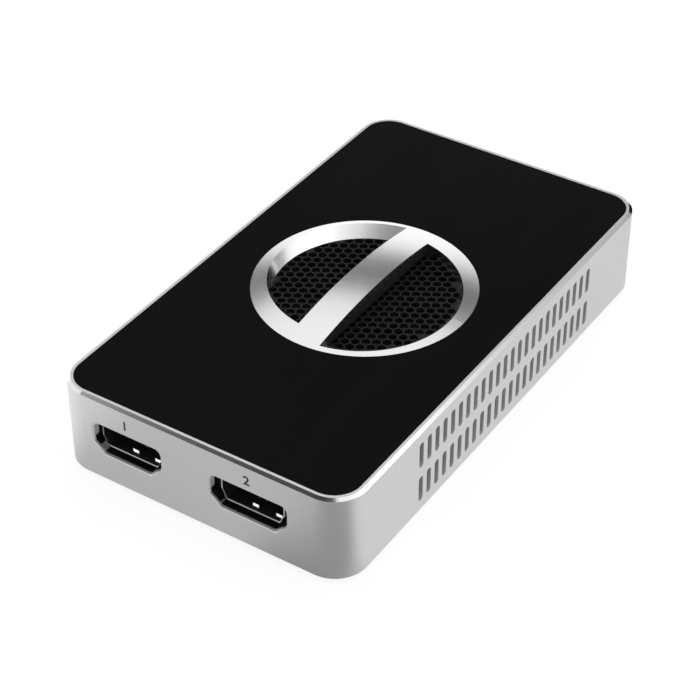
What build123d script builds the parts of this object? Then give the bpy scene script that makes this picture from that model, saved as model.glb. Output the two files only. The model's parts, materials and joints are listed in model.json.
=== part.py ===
from build123d import *
import os
from math import pi, sqrt, tan

os.makedirs("parts", exist_ok=True)

# Video capture box, in millimetres.
# X runs across the box, Y from the two video ports to the rear, Z up.
# The origin is the middle of the footprint, on the surface that the feet stand on.

# Overall form of the aluminium housing
box_width = 70.0
box_length = 121.2
side_height = 20.2
corner_radius = 7.3
wall = 1.8
roof = 1.6
rim_inset = 1.37
bevel_in = 0.74
bevel_drop = 0.44

# Glossy top panel, glued into the recess of the roof
panel_thickness = 1.0
glue_thickness = 0.2
panel_gap = 0.05
glue_margin = 1.5

# Clearances and the overrun of every cut
part_gap = 0.3
slide_gap = 0.15
bearing_gap = 0.03
overrun = 1.0

# Base plate, its feet and its screws
base_thickness = 1.5
foot_stand = 0.8
foot_pocket = 0.5
foot_radius = 4.5
foot_edge = 0.3
foot_from_side = 10.0
foot_from_end = 15.0
boss_inset = 6.4
boss_radius = 2.7
boss_web = 1.2
base_screw_radius = 1.2
base_screw_head_radius = 2.3
base_screw_head = 1.1
base_screw_length = 7.0
standoff_radius = 2.6
board_screw_radius = 1.2
board_screw_head_radius = 2.2
board_screw_head = 1.2
board_screw_length = 4.5
drive_radius = 0.75
drive_depth = 0.7
head_bevel = 0.35

# Side vents: two rows of upright slots through each long wall
slot_count = 24
slot_rows = 2
slot_pitch = 2.975
slot_width = 1.54
slot_length = 6.1
slot_low_centre = 5.5
slot_row_pitch = 8.7
slot_shift = 0.44
slot_end_sides = 8

# Video ports in the front wall, the wide side of each up
port_height = 10.3
port_recess = 1.85
port_bevel = 0.3
in_port_from_side = 18.15
in_port_width = 16.7
out_port_from_side = 22.6
out_port_width = 18.1
port_mouth_height = 7.0
mouth_top_fillet = 1.6
mouth_bend_fillet = 1.2
mouth_low_fillet = 1.0
shoulder_rise = 2.4
step_drop = 1.0
mouth_step_in = 1.3
mouth_foot_in = 2.7
shell_width = 15.0
shell_height = 5.9
shell_depth = 11.4
shell_wall = 0.35
shell_step_in = 0.5
shell_foot_in = 0.9
shell_top_fillet = 0.7
shell_low_fillet = 0.5
shell_back = 1.0
tongue_width = 11.6
tongue_thickness = 1.7
tongue_length = 7.6
tongue_below_top = 1.35
pin_count = 19
contact_spacing = 0.55
pin_width = 0.3
contact_gauge = 0.12
tail_length = 1.2
tab_width = 1.4
tab_length = 2.6
floor_tab_lift = 0.6
roof_tab_lift = 0.35
tab_count = 2
tab_pitch = 5.5
tab_shift = 2.6
tab_setback = 1.15
gasket_thickness = 1.0
gasket_band = 1.3
lip_setback = 0.5
lip_drop = 0.3
lip_foot = 0.4

# Computer port and audio sockets in the rear wall
usb_from_side = 19.0
usb_width = 12.0
usb_height = 11.2
usb_depth = 17.0
usb_drop = 3.7
usb_wall = 0.35
usb_corner = 0.6
usb_recess = 0.5
usb_back = 4.0
usb_mouth_width = 8.45
usb_mouth_height = 7.3
usb_mouth_chamfer = 1.6
usb_mouth_rise = 0.9
usb_step_width = 5.4
usb_step_height = 2.0
usb_tongue_width = 5.6
usb_tongue_height = 3.2
usb_tongue_length = 8.0
usb_tongue_rise = 2.1
usb_pin_count = 4
usb_contact_spacing = 1.25
usb_pin_width = 0.7
usb_contact_gauge = 0.15
jack_from_side = 16.5
jack_spacing = 11.0
jack_width = 7.6
jack_height = 5.8
jack_depth = 12.5
jack_nose_radius = 2.85
jack_bore_radius = 1.8
jack_bore_depth = 11.5
jack_recess = 0.2
led_from_side = 11.0
led_width = 1.6
led_height = 0.8
led_depth = 0.8
pipe_radius = 0.9

# Main circuit board
board_thickness = 1.6
board_margin = 0.5
board_screw_inset = 5.7
board_screw_place_share = 0.31

# Fan guard: a domed silver ring with a bar, over a black grille
guard_overhang = 4.15
guard_rise = 2.4
guard_gap = 0.1
guard_ledge = 3.15
spigot_wall = 1.1
mesh_drop = 1.8
mesh_thickness = 1.0
land_width = 2.65
land_level = 0.6
swirl_x = 0.3
swirl_y = 1.9
bar_width = 7.3
bar_skin = 0.5
backing_inset = 0.15
hole_pitch = 2.17
hole_flats = 1.78
hole_margin = 0.35
frame_step = 0.5
frame_height = 1.0

# Fan under the grille
fan_size = 40.0
fan_height = 6.0
fan_corner = 3.0
fan_rim = 1.1
fan_hole_inset = 4.0
fan_hole_radius = 1.45
fan_plate = 1.0
fan_plate_radius = 10.4
strut_count = 4
strut_width = 2.4
hub_radius = 9.6
hub_wall = 0.7
hub_top_gap = 0.35
hub_fillet = 0.6
hub_boss_radius = 1.9
hub_boss_height = 0.7
blade_count = 7
blade_tip_gap = 0.6
blade_chord_root = 7.4
blade_chord_tip = 10.2
blade_camber = 0.9
blade_thickness = 0.65
blade_pitch_root = 34.0
blade_pitch_tip = 22.0
blade_sink = 0.45
shaft_radius = 0.75
bearing_radius = 1.9
bearing_tube_radius = 2.6
bearing_length = 3.6
magnet_thickness = 1.0
magnet_height = 3.0
stator_gap = 0.4
stator_core_radius = 4.0
stator_height = 2.0
stator_lift = 0.5
pole_count = 4
pole_width = 1.6
pole_shoe = 0.9
coil_wall = 0.6
circuit_thickness = 0.4
circuit_radius = 8.6
fan_screw_radius = 1.15
fan_screw_head_radius = 2.2
fan_screw_head = 1.3
fan_screw_bite = 1.2

# Heat sink over the main chip
chip_size = 23.0
chip_height = 0.9
pad_thickness = 0.5
sink_margin = 2.7
sink_length = 44.0
sink_base = 1.2
fin_count = 14
fin_thickness = 0.9
fin_gap = 1.5
fin_height = 5.2
sink_post_radius = 2.0
sink_post_inset_x = 4.5
sink_post_inset_y = 3.0
sink_screw_radius = 0.95
sink_screw_head_radius = 1.8
sink_screw_head = 1.0
sink_screw_bite = 2.0

# Small parts on the board
memory_width = 11.0
memory_length = 8.0
memory_height = 1.0
support_size = 7.0
support_height = 0.9
cap_radius = 2.0
cap_height = 5.4
cap_base = 0.6
coil_size = 5.0
coil_height = 3.0
coil_corner = 0.8
crystal_width = 3.2
crystal_length = 2.5
crystal_height = 0.8
memory_place_shares = ((-0.18, -0.27), (0.02, -0.27))
support_place_shares = ((0.24, -0.27), (0.24, -0.345), (-0.18, 0.27), (0.20, 0.27))
cap_place_shares = ((-0.40, -0.26), (-0.33, -0.26), (0.33, 0.25), (0.40, 0.25))
coil_place_shares = ((-0.29, 0.25), (-0.39, 0.25))
crystal_place_shares = ((0.09, 0.33),)

# Fan lead, its plug and the header that it plugs into
lead_radius = 0.7
lead_bend_share = 0.45
header_width = 5.2
header_length = 5.0
header_height = 3.4
header_wall = 0.6
plug_reach = 1.6
header_x = -3.2
header_y = 36.5

# Levels, counted up from the surface that the box stands on
edge_z = foot_stand
base_top_z = edge_z + base_thickness
top_z = edge_z + side_height
deck_z = top_z - panel_thickness - glue_thickness
ceiling_z = deck_z - roof
mesh_top_z = top_z - mesh_drop
crown_z = top_z + guard_rise
fan_top_z = ceiling_z - frame_height
fan_z = fan_top_z - fan_height
port_z = edge_z + port_height
board_top_z = port_z - shell_height / 2
board_z = board_top_z - board_thickness
sink_z = board_top_z + chip_height + pad_thickness
sink_top_z = sink_z + sink_base

# Outlines that several pieces share
half_width = box_width / 2
half_length = box_length / 2
inner_width = box_width - 2 * wall
inner_length = box_length - 2 * wall
inner_radius = corner_radius - wall
recess_width = box_width - 2 * rim_inset
recess_length = box_length - 2 * rim_inset
recess_radius = corner_radius - rim_inset
boss_span_x = box_width - 2 * boss_inset
boss_span_y = box_length - 2 * boss_inset
shell_face_y = -half_length + port_recess
usb_face_y = half_length - usb_recess
usb_z = board_top_z - usb_drop
jack_face_y = half_length - jack_recess
jack_z = board_top_z + jack_height / 2
jack_outer_x = half_width - jack_from_side
jack_xs = (jack_outer_x - jack_spacing, jack_outer_x)
in_port_x = in_port_from_side - half_width
out_port_x = half_width - out_port_from_side
usb_x = usb_from_side - half_width
led_x = led_from_side - half_width
guard_radius = fan_size / 2 + guard_overhang
roof_hole_radius = guard_radius - guard_ledge
grille_radius = roof_hole_radius - spigot_wall
land_radius = guard_radius - land_width
fan_hole_span = fan_size - 2 * fan_hole_inset
fan_bore_radius = fan_size / 2 - fan_rim
front_wall_plane = Plane.XZ.offset(half_length)
rear_wall_plane = Plane.XZ.offset(-half_length)


def port_outline(width, height, inset, foot, top_fillet, bend_fillet, low_fillet, grow=0):
    """The video port's outline about its middle: wide above, stepped in below."""
    side = width / 2 + grow
    top = height / 2 + grow
    low = -top
    shoulder = -height / 2 + shoulder_rise
    right = [(side, top), (side, shoulder), (side - inset, shoulder - step_drop), (side - foot, low)]
    points = right + [(-x, z) for x, z in reversed(right)]
    with BuildSketch(mode=Mode.PRIVATE) as outline:
        with BuildLine():
            Polyline(points, close=True)
        make_face()
        bends = outline.vertices().group_by(Axis.Y)[1:3]
        fillet([corner for level in bends for corner in level], bend_fillet)
        fillet(outline.vertices().group_by(Axis.Y)[-1], top_fillet)
        fillet(outline.vertices().group_by(Axis.Y)[0], low_fillet)
    return outline.sketch


def mouth_outline(width, grow=0):
    """The cut-out in the front wall for one video port."""
    return port_outline(width, port_mouth_height, mouth_step_in, mouth_foot_in,
                        mouth_top_fillet, mouth_bend_fillet, mouth_low_fillet, grow)


def shell_outline(grow=0):
    """The video connector's steel shell, seen into its mouth."""
    return port_outline(shell_width, shell_height, shell_step_in, shell_foot_in,
                        shell_top_fillet, shell_low_fillet, shell_low_fillet, grow)


def usb_outline(width, height, corner):
    """The computer connector's outline, its foot on its own lowest line."""
    with BuildSketch(mode=Mode.PRIVATE) as outline:
        with Locations((0, height / 2)):
            RectangleRounded(width, height, corner)
    return outline.sketch


def vent_outline():
    """One vent slot, its round ends drawn with a few flats each, as there are so many."""
    end_pitch = slot_length - slot_width
    with BuildSketch(mode=Mode.PRIVATE) as outline:
        with GridLocations(0, end_pitch, 1, 2):
            RegularPolygon(slot_width / 2, slot_end_sides, major_radius=False, rotation=180 / slot_end_sides)
        Rectangle(slot_width, end_pitch)
    return outline.sketch


def countersunk_screw(radius, length, head_radius, head, recess_radius_, recess_depth):
    """A countersunk screw with its head's face at zero, pointing up."""
    with BuildPart(mode=Mode.PRIVATE) as screw:
        with BuildSketch(Plane.XZ):
            with BuildLine():
                Polyline((0, 0), (head_radius, 0), (radius, head), (radius, length), (0, length),
                         close=True)
            make_face()
        revolve(axis=Axis.Z)
        with BuildSketch(Plane.XY):
            RegularPolygon(recess_radius_, 6)
        extrude(amount=recess_depth, mode=Mode.SUBTRACT)
    return screw.part


def pan_screw(radius, length, head_radius, head, recess_radius_, recess_depth):
    """A pan-head screw, its head standing on zero and its shank below."""
    with BuildPart(mode=Mode.PRIVATE) as screw:
        with BuildSketch(Plane.XY):
            Circle(head_radius)
        extrude(amount=head)
        chamfer(screw.edges().group_by(Axis.Z)[-1], head_bevel)
        with BuildSketch(Plane.XY.offset(head)):
            RegularPolygon(recess_radius_, 6)
        extrude(amount=-recess_depth, mode=Mode.SUBTRACT)
        with BuildSketch(Plane.XY):
            Circle(radius)
        extrude(amount=-length)
    return screw.part


# Housing: an aluminium tub, open below, with a recessed roof
with BuildPart() as housing:
    with BuildSketch(Plane.XY.offset(edge_z)):
        RectangleRounded(box_width, box_length, corner_radius)
    extrude(amount=side_height)
    crest = housing.faces().sort_by(Axis.Z)[-1]
    chamfer(crest.edges(), length=bevel_in, length2=bevel_drop, reference=crest)
    with BuildSketch(Plane.XY.offset(edge_z)):
        RectangleRounded(inner_width, inner_length, inner_radius)
    extrude(amount=ceiling_z - edge_z, mode=Mode.SUBTRACT)
    with BuildSketch(Plane.XY.offset(deck_z)):
        RectangleRounded(recess_width, recess_length, recess_radius)
    extrude(amount=top_z - deck_z, mode=Mode.SUBTRACT)
    # Screw bosses in the corners, webbed to both walls
    with BuildSketch(Plane.XY.offset(base_top_z)):
        with GridLocations(boss_span_x, boss_span_y, 2, 2):
            Circle(boss_radius)
        for side in (-1, 1):
            for end in (-1, 1):
                with Locations((side * (half_width - wall / 2 - boss_inset / 2), end * boss_span_y / 2)):
                    Rectangle(boss_inset - wall, boss_web)
                with Locations((side * boss_span_x / 2, end * (half_length - wall / 2 - boss_inset / 2))):
                    Rectangle(boss_web, boss_inset - wall)
    extrude(amount=ceiling_z - base_top_z)
    with BuildSketch(Plane.XY.offset(base_top_z)):
        with GridLocations(boss_span_x, boss_span_y, 2, 2):
            Circle(base_screw_radius)
    extrude(amount=base_screw_length, mode=Mode.SUBTRACT)
    # Fan opening, and the threaded holes that hold the fan
    with BuildSketch(Plane.XY.offset(ceiling_z)):
        Circle(roof_hole_radius)
    extrude(amount=roof, mode=Mode.SUBTRACT)
    with BuildSketch(Plane.XY.offset(ceiling_z)):
        with GridLocations(fan_hole_span, fan_hole_span, 2, 2):
            Circle(fan_screw_radius)
    extrude(amount=fan_screw_bite, mode=Mode.SUBTRACT)
    # Vent slots, cut through both long walls at once
    with BuildSketch(Plane.YZ.offset(-half_width - overrun)):
        with Locations((slot_shift, edge_z + slot_low_centre + slot_row_pitch / 2)):
            with GridLocations(slot_pitch, slot_row_pitch, slot_count, slot_rows):
                add(vent_outline())
    extrude(amount=box_width + 2 * overrun, mode=Mode.SUBTRACT)
    # Video port cut-outs, with a narrow bevel round each
    for port_x, port_width in ((in_port_x, in_port_width), (out_port_x, out_port_width)):
        with BuildSketch(front_wall_plane):
            with Locations((port_x, port_z)):
                add(mouth_outline(port_width))
        extrude(amount=-wall, mode=Mode.SUBTRACT)
        with BuildSketch(front_wall_plane):
            with Locations((port_x, port_z)):
                add(mouth_outline(port_width, port_bevel))
        with BuildSketch(front_wall_plane.offset(-port_bevel)):
            with Locations((port_x, port_z)):
                add(mouth_outline(port_width))
        loft(mode=Mode.SUBTRACT)
    # Rear cut-outs: computer port, two audio sockets and the light pipe
    with BuildSketch(rear_wall_plane):
        with Locations((usb_x, usb_z - slide_gap)):
            add(usb_outline(usb_width + 2 * slide_gap, usb_height + 2 * slide_gap, usb_corner))
        with Locations(*[(x, jack_z) for x in jack_xs]):
            Circle(jack_nose_radius + slide_gap)
        with Locations((led_x, board_top_z + led_height / 2)):
            Circle(pipe_radius + slide_gap)
    extrude(amount=wall, mode=Mode.SUBTRACT)
housing.part.label = "housing"
export_step(housing.part, "parts/housing.step")

# Top panel with its round opening for the fan guard
with BuildPart() as top_panel:
    with BuildSketch(Plane.XY.offset(deck_z + glue_thickness)):
        RectangleRounded(recess_width - 2 * panel_gap, recess_length - 2 * panel_gap,
                         recess_radius - panel_gap)
        Circle(guard_radius + guard_gap, mode=Mode.SUBTRACT)
    extrude(amount=panel_thickness)
top_panel.part.label = "top_panel"
export_step(top_panel.part, "parts/top_panel.step")

# Adhesive film between the panel and the roof
with BuildPart() as panel_adhesive:
    with BuildSketch(Plane.XY.offset(deck_z)):
        RectangleRounded(recess_width - 2 * glue_margin, recess_length - 2 * glue_margin,
                         recess_radius - glue_margin)
        Circle(guard_radius + glue_margin, mode=Mode.SUBTRACT)
    extrude(amount=glue_thickness)
panel_adhesive.part.label = "panel_adhesive"
export_step(panel_adhesive.part, "parts/panel_adhesive.step")

# Dome of the fan guard: a shallow cap of a ball, from the rim to the crown
dome_ball = (guard_radius ** 2 + guard_rise ** 2) / (2 * guard_rise)
dome_centre_z = crown_z - dome_ball
land_z = top_z + land_level
spigot_radius = roof_hole_radius - slide_gap


def dome_z(radius):
    """Height of the dome's surface at a distance from its middle."""
    return dome_centre_z + sqrt(dome_ball ** 2 - radius ** 2)


def half_moon(side):
    """One opening of the guard: a cone leaning outwards, cut off at the bar."""
    reach = (crown_z + overrun - mesh_top_z) / (land_z - mesh_top_z)
    with BuildPart(mode=Mode.PRIVATE) as cutter:
        with BuildSketch(Plane.XY.offset(mesh_top_z)):
            Circle(grille_radius)
        with BuildSketch(Plane.XY.offset(crown_z + overrun)):
            with Locations((side * swirl_x * reach, -side * swirl_y * reach)):
                Circle(grille_radius + (land_radius - grille_radius) * reach)
        loft()
        split(bisect_by=Plane.YZ.offset(side * bar_width / 2), keep=Keep.TOP if side > 0 else Keep.BOTTOM)
    return cutter.part


with BuildPart(mode=Mode.PRIVATE) as bar_space:
    with BuildSketch(Plane.XY.offset(mesh_top_z)):
        Circle(grille_radius)
        Rectangle(bar_width - 2 * backing_inset, 2 * grille_radius, mode=Mode.INTERSECT)
    extrude(amount=crown_z - mesh_top_z)
    with Locations((0, 0, dome_centre_z)):
        Sphere(dome_ball - bar_skin, mode=Mode.INTERSECT)
left_moon = half_moon(-1)
right_moon = half_moon(1)

# Fan guard: silver ring and bar in one piece
with BuildPart() as fan_guard:
    with BuildSketch(Plane.XZ):
        with BuildLine():
            Polyline((0, crown_z), (0, mesh_top_z), (spigot_radius, mesh_top_z), (spigot_radius, deck_z),
                     (guard_radius, deck_z), (guard_radius, top_z))
            ThreePointArc((guard_radius, top_z), (guard_radius / 2, dome_z(guard_radius / 2)), (0, crown_z))
        make_face()
    revolve(axis=Axis.Z)
    add(left_moon, mode=Mode.SUBTRACT)
    add(right_moon, mode=Mode.SUBTRACT)
    add(bar_space.part, mode=Mode.SUBTRACT)
    with BuildSketch(Plane.XY.offset(mesh_top_z)):
        with Locations((bar_width / 2 - backing_inset / 2, 0), (backing_inset / 2 - bar_width / 2, 0)):
            Rectangle(backing_inset, 2 * grille_radius)
    extrude(amount=land_z - mesh_top_z, mode=Mode.SUBTRACT)
fan_guard.part.label = "fan_guard"
export_step(fan_guard.part, "parts/fan_guard.step")

# Black rib that backs the bar, from the grille up to the bar's skin
with BuildPart() as bar_backing:
    add(bar_space.part)
bar_backing.part.label = "bar_backing"
export_step(bar_backing.part, "parts/bar_backing.step")

# Grille: a thin disc with close-packed hexagon holes, left whole under the bar
column_pitch = hole_pitch * sqrt(3) / 2
hole_corner = hole_flats / sqrt(3)
columns = int(grille_radius / column_pitch) + 1
rows = int(grille_radius / hole_pitch) + 1
clear_radius = grille_radius - hole_margin
hole_places = []
for column in range(-columns, columns + 1):
    for row in range(-rows, rows + 1):
        x = column * column_pitch
        y = (row + (column % 2) / 2) * hole_pitch
        inside = sqrt(x ** 2 + y ** 2) < clear_radius
        if inside and abs(x) > bar_width / 2 - hole_corner:
            hole_places.append((x, y))
with BuildPart() as grille_mesh:
    with BuildSketch(Plane.XY.offset(mesh_top_z - mesh_thickness)):
        Circle(spigot_radius)
        with Locations(*hole_places):
            RegularPolygon(hole_corner, 6, mode=Mode.SUBTRACT)
    extrude(amount=mesh_thickness)
grille_mesh.part.label = "grille_mesh"
export_step(grille_mesh.part, "parts/grille_mesh.step")

# Grille frame: a flat square ring between the fan and the roof
with BuildPart() as grille_frame:
    with BuildSketch(Plane.XY.offset(fan_top_z)):
        RectangleRounded(fan_size, fan_size, fan_corner)
        Circle(spigot_radius + slide_gap)
        Circle(fan_bore_radius + frame_step, mode=Mode.SUBTRACT)
        with GridLocations(fan_hole_span, fan_hole_span, 2, 2):
            Circle(fan_hole_radius, mode=Mode.SUBTRACT)
    extrude(amount=frame_height)
grille_frame.part.label = "grille_frame"
export_step(grille_frame.part, "parts/grille_frame.step")

# Base plate: pressed standoffs for the board, pockets for the feet
board_width = inner_width - 2 * board_margin
board_length = inner_length - 2 * board_margin
board_screw_x = board_width / 2 - board_screw_inset
board_screw_y = board_screw_place_share * board_length
foot_span_x = box_width - 2 * foot_from_side
foot_span_y = box_length - 2 * foot_from_end
with BuildPart() as base_plate:
    with BuildSketch(Plane.XY.offset(edge_z)):
        RectangleRounded(inner_width - 2 * slide_gap, inner_length - 2 * slide_gap,
                         inner_radius - slide_gap)
    extrude(amount=base_thickness)
    with BuildSketch(Plane.XY.offset(base_top_z)):
        with GridLocations(2 * board_screw_x, 2 * board_screw_y, 2, 2):
            Circle(standoff_radius)
    extrude(amount=board_z - base_top_z)
    with BuildSketch(Plane.XY.offset(board_z)):
        with GridLocations(2 * board_screw_x, 2 * board_screw_y, 2, 2):
            Circle(board_screw_radius)
    extrude(amount=board_thickness - board_screw_length, mode=Mode.SUBTRACT)
    with BuildSketch(Plane.XY.offset(edge_z)):
        with GridLocations(foot_span_x, foot_span_y, 2, 2):
            Circle(foot_radius + slide_gap)
    extrude(amount=foot_pocket, mode=Mode.SUBTRACT)
    with Locations(Plane.XY.offset(edge_z).rotated((180, 0, 0))):
        with GridLocations(boss_span_x, boss_span_y, 2, 2):
            CounterSinkHole(base_screw_radius + slide_gap, base_screw_head_radius + slide_gap)
base_plate.part.label = "base_plate"
export_step(base_plate.part, "parts/base_plate.step")

# Countersunk screws from the base plate into the corner bosses
base_screw = countersunk_screw(base_screw_radius, base_screw_length, base_screw_head_radius,
                               base_screw_head, drive_radius, drive_depth)
with BuildPart() as base_screws:
    with Locations((0, 0, edge_z)):
        with GridLocations(boss_span_x, boss_span_y, 2, 2):
            add(base_screw)
base_screws.part.label = "base_screws"
export_step(base_screws.part, "parts/base_screws.step")

# Rubber feet, pressed into their pockets
with BuildPart() as feet:
    with BuildSketch():
        with GridLocations(foot_span_x, foot_span_y, 2, 2):
            Circle(foot_radius)
    extrude(amount=foot_stand + foot_pocket)
    chamfer(feet.edges().group_by(Axis.Z)[0], foot_edge)
feet.part.label = "feet"
export_step(feet.part, "parts/feet.step")

# Main board, notched round the corner bosses and the computer port
notch = boss_inset + boss_radius + part_gap - wall - board_margin
usb_notch_width = usb_width + 2 * part_gap
usb_notch_length = usb_depth + part_gap - (wall + board_margin - usb_recess)
sink_width = inner_width - 2 * sink_margin
sink_post_x = sink_width / 2 - sink_post_inset_x
sink_post_y = sink_length / 2 - sink_post_inset_y
with BuildPart() as main_board:
    with BuildSketch(Plane.XY.offset(board_z)):
        Rectangle(board_width, board_length)
        for side in (-1, 1):
            for end in (-1, 1):
                with Locations((side * (board_width - notch) / 2, end * (board_length - notch) / 2)):
                    Rectangle(notch, notch, mode=Mode.SUBTRACT)
        with Locations((usb_x, (board_length - usb_notch_length) / 2)):
            Rectangle(usb_notch_width, usb_notch_length, mode=Mode.SUBTRACT)
        with GridLocations(2 * board_screw_x, 2 * board_screw_y, 2, 2):
            Circle(board_screw_radius + slide_gap, mode=Mode.SUBTRACT)
        with GridLocations(2 * sink_post_x, 2 * sink_post_y, 2, 2):
            Circle(sink_screw_radius + slide_gap, mode=Mode.SUBTRACT)
    extrude(amount=board_thickness)
main_board.part.label = "main_board"
export_step(main_board.part, "parts/main_board.step")

# Screws that hold the board on the base plate's standoffs
board_screw = pan_screw(board_screw_radius, board_screw_length, board_screw_head_radius,
                        board_screw_head, drive_radius, drive_depth)
with BuildPart() as board_screws:
    with Locations((0, 0, board_top_z)):
        with GridLocations(2 * board_screw_x, 2 * board_screw_y, 2, 2):
            add(board_screw)
board_screws.part.label = "board_screws"
export_step(board_screws.part, "parts/board_screws.step")

# Video connectors: steel shell, black insulator with its tongue, and gilt contacts
tongue_top_z = port_z + shell_height / 2 - shell_wall - tongue_below_top
tongue_z = tongue_top_z - tongue_thickness
shell_end_y = shell_face_y + shell_depth
insulator_y = shell_end_y - shell_back
pin_length = tongue_length - tongue_thickness / 2
for name, port_x in (("in", in_port_x), ("out", out_port_x)):
    face_plane = Plane.XZ.offset(-shell_face_y)
    with BuildPart() as hdmi_shell:
        with BuildSketch(face_plane):
            with Locations((port_x, port_z)):
                add(shell_outline())
                add(shell_outline(-shell_wall), mode=Mode.SUBTRACT)
        extrude(amount=-shell_depth)
        # Spring windows in the shell's roof and floor, each with a finger turned over at its tip
        tip_y = shell_face_y + tab_setback
        root_y = tip_y + tab_length
        tabs_x = port_x + tab_shift
        with BuildSketch(Plane.XY.offset(port_z - shell_height)):
            with Locations((tabs_x, (tip_y + root_y) / 2 - slide_gap)):
                with GridLocations(tab_pitch, tab_length, tab_count, 1):
                    Rectangle(tab_width + 2 * slide_gap, tab_length)
        extrude(amount=2 * shell_height, mode=Mode.SUBTRACT)
        for inward, lift in ((1, floor_tab_lift), (-1, roof_tab_lift)):
            outer_z = port_z - inward * shell_height / 2
            inner_z = outer_z + inward * shell_wall
            raised = inward * lift
            for turn in range(tab_count):
                tab_x = tabs_x + (turn - (tab_count - 1) / 2) * tab_pitch
                with BuildSketch(Plane.YZ.offset(tab_x - tab_width / 2)):
                    with BuildLine():
                        Polyline((root_y, outer_z), (tip_y + shell_wall, outer_z + raised),
                                 (tip_y + shell_wall, outer_z), (tip_y, outer_z),
                                 (tip_y, inner_z + raised), (root_y, inner_z), close=True)
                    make_face()
                extrude(amount=tab_width)
    hdmi_shell.part.label = f"hdmi_{name}_shell"
    export_step(hdmi_shell.part, f"parts/hdmi_{name}_shell.step")

    with BuildPart() as hdmi_insulator:
        with BuildSketch(Plane.XZ.offset(-insulator_y)):
            with Locations((port_x, port_z)):
                add(shell_outline(-shell_wall))
        extrude(amount=-shell_back)
        with BuildSketch(Plane.XZ.offset(-insulator_y)):
            with Locations((port_x, tongue_z + tongue_thickness / 2)):
                Rectangle(tongue_width, tongue_thickness)
        extrude(amount=tongue_length)
        tip = hdmi_insulator.faces().sort_by(Axis.Y)[0]
        chamfer(tip.edges(), tongue_thickness / 4)
    hdmi_insulator.part.label = f"hdmi_{name}_insulator"
    export_step(hdmi_insulator.part, f"parts/hdmi_{name}_insulator.step")

    with BuildPart() as hdmi_contacts:
        for row, (row_count, face_z, thick) in enumerate(((pin_count // 2 + 1, tongue_z, -contact_gauge),
                                                          (pin_count // 2, tongue_top_z, contact_gauge))):
            with BuildSketch(Plane.XY.offset(face_z)):
                with Locations((port_x, insulator_y - pin_length / 2)):
                    with GridLocations(2 * contact_spacing, pin_length, row_count, 1):
                        Rectangle(pin_width, pin_length)
            extrude(amount=thick)
        with BuildSketch(Plane.XY.offset(board_top_z)):
            with Locations((port_x, shell_end_y + tail_length / 2)):
                with GridLocations(contact_spacing, tail_length, pin_count, 1):
                    Rectangle(pin_width, tail_length)
        extrude(amount=contact_gauge)
    hdmi_contacts.part.label = f"hdmi_{name}_contacts"
    export_step(hdmi_contacts.part, f"parts/hdmi_{name}_contacts.step")

# Black foam gaskets round the video connectors, against the front wall
with BuildPart() as port_gaskets:
    with BuildSketch(Plane.XZ.offset(half_length - wall)):
        for port_x in (in_port_x, out_port_x):
            with Locations((port_x, port_z + gasket_band / 2)):
                Rectangle(shell_width + 2 * gasket_band, shell_height + gasket_band)
            with Locations((port_x, port_z)):
                add(shell_outline(slide_gap), mode=Mode.SUBTRACT)
                Rectangle(shell_width - 2 * gasket_band, shell_height + 2 * slide_gap, mode=Mode.SUBTRACT)
        with Locations(((in_port_x + out_port_x) / 2, board_top_z - overrun / 2)):
            Rectangle(box_width, overrun, mode=Mode.SUBTRACT)
    extrude(amount=-gasket_thickness)
    # A strip in front of the board's edge, and a lip from it in the foot of each cut-out
    for port_x, port_width in ((in_port_x, in_port_width), (out_port_x, out_port_width)):
        with BuildSketch(Plane.XZ.offset(half_length - wall)):
            with Locations((port_x, board_top_z - lip_foot / 2)):
                Rectangle(shell_width + 2 * gasket_band, lip_foot)
        extrude(amount=-board_margin / 2)
        with BuildSketch(front_wall_plane.offset(-lip_setback)):
            with Locations((port_x, port_z)):
                add(mouth_outline(port_width, -slide_gap))
                add(shell_outline(slide_gap), mode=Mode.SUBTRACT)
            with Locations((port_x, port_z - lip_drop + shell_height / 2)):
                Rectangle(port_width, shell_height, mode=Mode.SUBTRACT)
        extrude(amount=lip_setback - wall - slide_gap)
port_gaskets.part.label = "port_gaskets"
export_step(port_gaskets.part, "parts/port_gaskets.step")

# Computer connector: shell, insulator with a stepped mouth and a tongue, contacts
usb_plane = Plane.XZ.offset(-usb_face_y)
usb_inner_width = usb_width - 2 * usb_wall
usb_inner_height = usb_height - 2 * usb_wall
mouth_z = usb_z + usb_wall + usb_mouth_rise
with BuildPart() as usb_shell:
    with BuildSketch(usb_plane):
        with Locations((usb_x, usb_z)):
            add(usb_outline(usb_width, usb_height, usb_corner))
        with Locations((usb_x, usb_z + usb_wall)):
            add(usb_outline(usb_inner_width, usb_inner_height, usb_corner - usb_wall), mode=Mode.SUBTRACT)
    extrude(amount=usb_depth)
usb_shell.part.label = "usb_shell"
export_step(usb_shell.part, "parts/usb_shell.step")

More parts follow.
